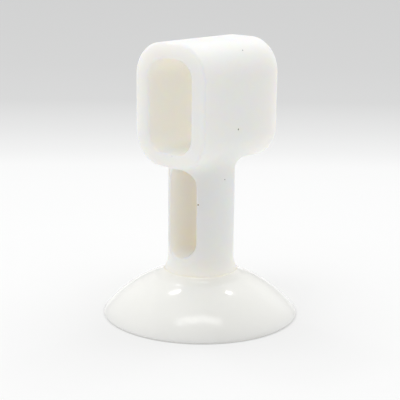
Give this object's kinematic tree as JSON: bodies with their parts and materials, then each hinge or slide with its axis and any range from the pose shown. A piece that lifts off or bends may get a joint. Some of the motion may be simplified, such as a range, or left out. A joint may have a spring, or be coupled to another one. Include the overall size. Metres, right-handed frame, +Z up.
{
  "type": "suction cup handle holder",
  "caption": "Soft sleeve with an open rounded-rectangular bore on a slotted stem and a suction cup, for a flat lever handle.",
  "frame": {"origin": "middle of the cup's sealing lip, on the surface it sticks to", "axes": "+Z up the stem from the cup to the sleeve; the sleeve's bore runs along Y and its front mouth faces -Y; +X across the sleeve"},
  "size_m": [0.045, 0.045, 0.0635],
  "materials": {
    "holder": "satin ivory silicone",
    "suction_cup": "glossy ivory silicone"
  },
  "bodies": {
    "cup": {"suction_cup": "suction_cup"},
    "sleeve": {"holder": "holder"}
  },
  "joints": [
    {"name": "cup_press", "type": "slide", "parent": "cup", "child": "sleeve", "axis": [0, 0, -1], "range_m": [0, 0.0035], "stiffness_N_per_m": 2000, "deforming": ["suction_cup"]}
  ]
}
